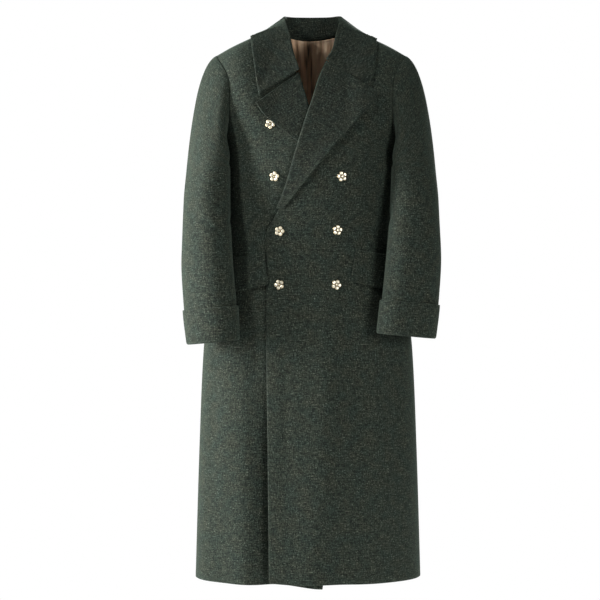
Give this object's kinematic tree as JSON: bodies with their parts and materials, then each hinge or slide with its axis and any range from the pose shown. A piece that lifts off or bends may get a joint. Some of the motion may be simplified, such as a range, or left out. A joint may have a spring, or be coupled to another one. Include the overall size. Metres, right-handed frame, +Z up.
{
  "type": "polo coat",
  "caption": "Full-length double-breasted wool overcoat with wide lapels, turn-back cuffs and flap pockets, filled out and open inside.",
  "frame": {"origin": "middle of the neck opening, level with the shoulder seams' neck ends, where the wearer's shoulders hold the coat up", "axes": "+Z up, -Y to the coat's front, +X to the wearer's left"},
  "size_m": [0.5828, 0.3453, 1.3022],
  "materials": {
    "wool": "matte",
    "lining": "satin",
    "button_metal": "satin"
  },
  "bodies": {
    "root": {"front_left": "wool", "front_right": "wool", "back_left": "wool", "back_right": "wool", "sleeve_left_top": "wool", "sleeve_left_under": "wool", "sleeve_right_top": "wool", "sleeve_right_under": "wool", "cuff_left": "wool", "cuff_right": "wool", "lapel_left": "wool", "lapel_right": "wool", "collar": "wool", "flap_left": "wool", "flap_right": "wool", "lining_back": "lining", "button_right_1": "button_metal", "button_right_2": "button_metal", "button_left_1": "button_metal", "button_left_2": "button_metal", "button_left_3": "button_metal", "button_left_4": "button_metal", "button_left_5": "button_metal"}
  },
  "joints": []
}
